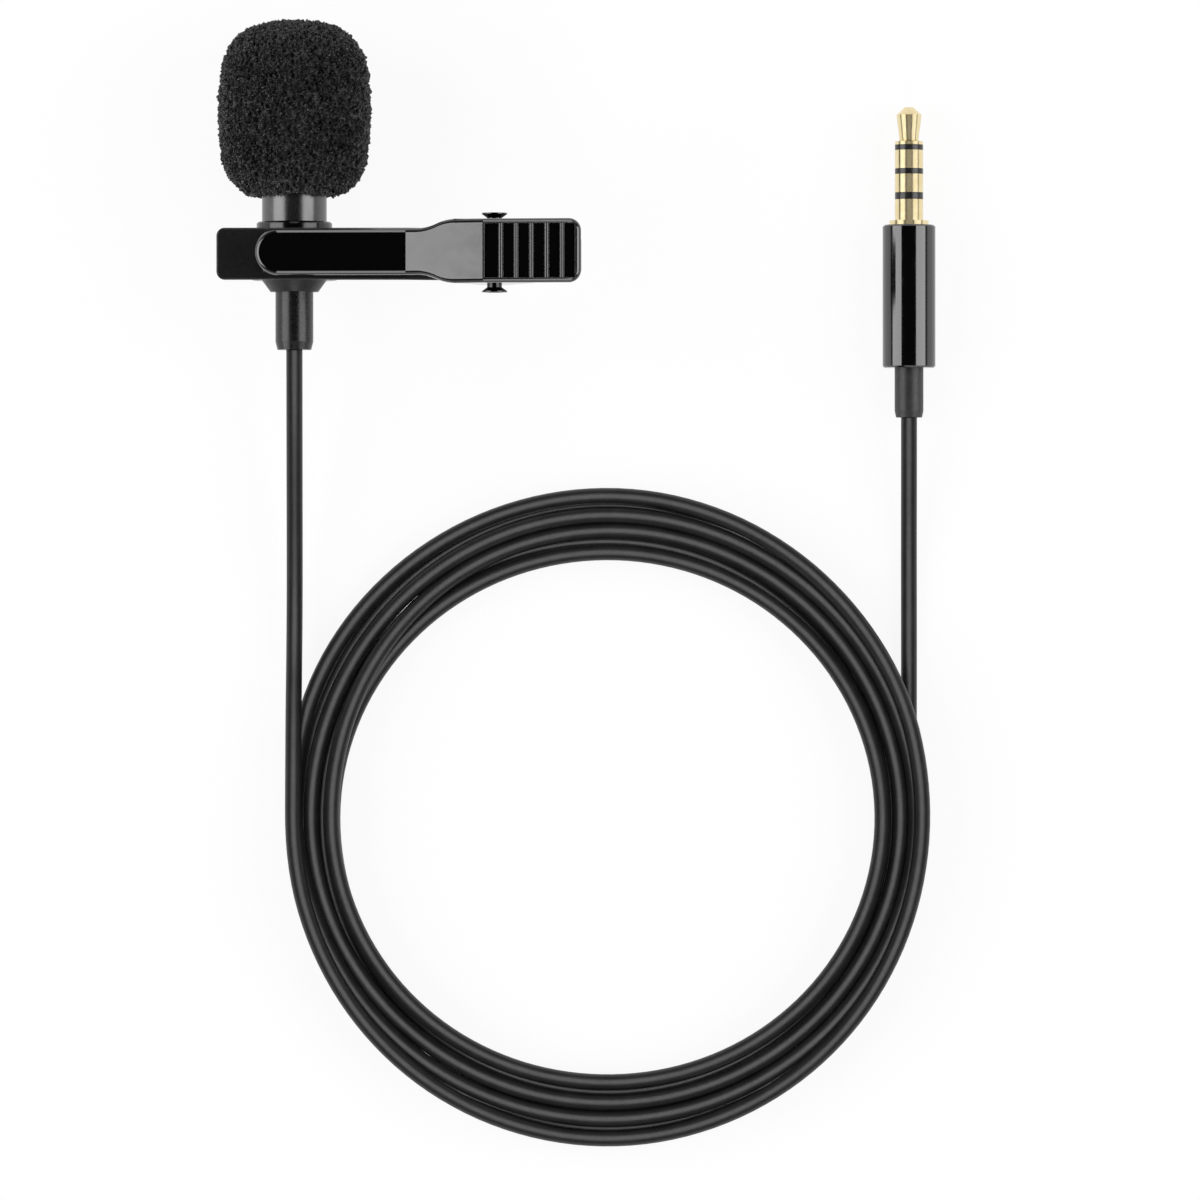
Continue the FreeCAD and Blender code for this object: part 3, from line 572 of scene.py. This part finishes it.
def floor():
    """A pale floor, mostly plain white to the eye and in reflections, that keeps the shadows."""
    data = bpy.data.meshes.new("floor")
    reach = 4.0
    data.from_pydata([(-reach, -reach, 0), (reach, -reach, 0), (reach, reach, 0), (-reach, reach, 0)],
                     [], [(0, 1, 2, 3)])
    obj = bpy.data.objects.new("floor", data)
    bpy.context.collection.objects.link(obj)
    material = bpy.data.materials.new("floor")
    material.use_nodes = True
    tree = material.node_tree
    bsdf = tree.nodes["Principled BSDF"]
    bsdf.inputs["Base Color"].default_value = (0.93, 0.93, 0.93, 1)
    bsdf.inputs["Roughness"].default_value = 0.9
    path = tree.nodes.new("ShaderNodeLightPath")
    seen = path.outputs["Is Camera Ray"]
    for ray in ("Is Glossy Ray", "Is Transmission Ray"):
        either = tree.nodes.new("ShaderNodeMath")
        either.operation = "MAXIMUM"
        tree.links.new(seen, either.inputs[0])
        tree.links.new(path.outputs[ray], either.inputs[1])
        seen = either.outputs[0]
    share = tree.nodes.new("ShaderNodeMath")
    share.operation = "MULTIPLY"
    away = tree.nodes.new("ShaderNodeVectorMath")
    away.operation = "LENGTH"
    tree.links.new(tree.nodes.new("ShaderNodeTexCoord").outputs["Object"], away.inputs[0])
    whiter = tree.nodes.new("ShaderNodeMapRange")
    tree.links.new(away.outputs["Value"], whiter.inputs["Value"])
    limits = {"From Min": shadow_reach[0], "From Max": shadow_reach[1],
              "To Min": floor_white, "To Max": 1}
    for socket, value in limits.items():
        whiter.inputs[socket].default_value = value
    tree.links.new(whiter.outputs["Result"], share.inputs[1])
    tree.links.new(seen, share.inputs[0])
    glow = tree.nodes.new("ShaderNodeEmission")
    glow.inputs["Color"].default_value = (1, 1, 1, 1)
    mix = tree.nodes.new("ShaderNodeMixShader")
    tree.links.new(share.outputs[0], mix.inputs[0])
    tree.links.new(bsdf.outputs[0], mix.inputs[1])
    tree.links.new(glow.outputs[0], mix.inputs[2])
    tree.links.new(mix.outputs[0], tree.nodes["Material Output"].inputs["Surface"])
    data.materials.append(material)


def lamp(name, place, target, size, radiance, shape="RECTANGLE"):
    """A soft lamp that faces a target; radiance 1 is the white of the picture."""
    data = bpy.data.lights.new(name, "AREA")
    data.shape = shape
    data.size, data.size_y = size
    area = size[0] * size[1] * (math.pi / 4 if shape == "ELLIPSE" else 1)
    data.energy = radiance * math.pi * area
    obj = bpy.data.objects.new(name, data)
    obj.location = place
    obj.rotation_euler = (Vector(place) - Vector(target)).to_track_quat("Z", "Y").to_euler()
    obj.visible_camera = False
    bpy.context.collection.objects.link(obj)
    return obj


def light_only(lamps, pieces, state="INCLUDE"):
    """Lamps that light only these pieces, or with EXCLUDE everything but them."""
    lit = bpy.data.collections.new("lit_by_" + lamps[0].name)
    for piece in pieces:
        lit.objects.link(piece)
    for linked in lit.collection_objects:
        linked.light_linking.link_state = state
    for obj in lamps:
        obj.light_linking.receiver_collection = lit


def softbox(name, towards, low, high, length, radiance):
    """A lamp that spans low to high degrees from straight up, towards a side (x, y) of the part."""
    distance = 1.5
    middle = math.radians((low + high) / 2)
    width = 2 * distance * math.tan(math.radians((high - low) / 2))
    target = Vector((0.02, -0.04, 0))
    away = Vector((towards[0] * math.sin(middle), towards[1] * math.sin(middle), math.cos(middle)))
    size = (width, length) if towards[0] else (length, width)
    return lamp(name, target + away * distance, target, size, radiance)


def disc(name, above, diameter, radiance):
    """A round lamp that faces straight down over a place (x, y) on the table."""
    height = 0.6
    return lamp(name, (*above, height), (*above, 0), (diameter, diameter), radiance, "ELLIPSE")


def world():
    """A dark sky over a horizon that is as white as the floor."""
    scene = bpy.context.scene
    scene.world = bpy.data.worlds.new("studio")
    scene.world.use_nodes = True
    tree = scene.world.node_tree
    place = tree.nodes.new("ShaderNodeTexCoord").outputs["Generated"]
    split = tree.nodes.new("ShaderNodeSeparateXYZ")
    tree.links.new(place, split.inputs[0])
    ramp = tree.nodes.new("ShaderNodeValToRGB")
    tree.links.new(split.outputs["Z"], ramp.inputs["Fac"])
    elements = ramp.color_ramp.elements
    while len(elements) < len(sky):
        elements.new(0.5)
    for element, (position, level) in zip(elements, sky):
        element.position = position
        element.color = (*grey(level), 1)
    tree.links.new(ramp.outputs["Color"], tree.nodes["Background"].inputs["Color"])


def camera():
    """Straight down over the middle of the picture, from a metre above the microphone's axis."""
    distance = 1.0
    view_width = 147.4 * mm
    middle_x, middle_y = 24.56 * mm, -50.98 * mm
    data = bpy.data.cameras.new("camera")
    data.sensor_width = 36
    data.lens = data.sensor_width * distance / view_width
    data.clip_end = 20
    obj = bpy.data.objects.new("camera", data)
    obj.location = (middle_x, middle_y, mic_z + distance)
    bpy.context.collection.objects.link(obj)
    bpy.context.scene.camera = obj


floor()
golden = [nodes[name] for name in ("plug_tip", "plug_ring_1", "plug_ring_2", "plug_sleeve")]
left, right, far, near = (-1, 0), (1, 0), (0, 1), (0, -1)
long_box, short_box = 1.2, 0.6
light_only([softbox("softbox_left", left, 28, 84, long_box, 3.4),
            softbox("softbox_right", right, 29, 75, long_box, 3.4)], [cord] + golden, "EXCLUDE")
light_only([softbox("softbox_far", far, 32, 78, short_box, 2.4),
            softbox("softbox_near", near, 32, 78, short_box, 2.4)], [cord, foam] + golden, "EXCLUDE")
light_only([softbox("gold_left", left, 24, 84, long_box, 1.3),
            softbox("gold_right", right, 24, 80, long_box, 1.1),
            disc("gold_overhead", (0.06, 0), 0.5, 0.35)], golden)
light_only([disc("overhead", (coil_x, coil_y), 0.75, 3.3)], [cord])
world()
camera()
bpy.context.scene.view_settings.view_transform = "Standard"
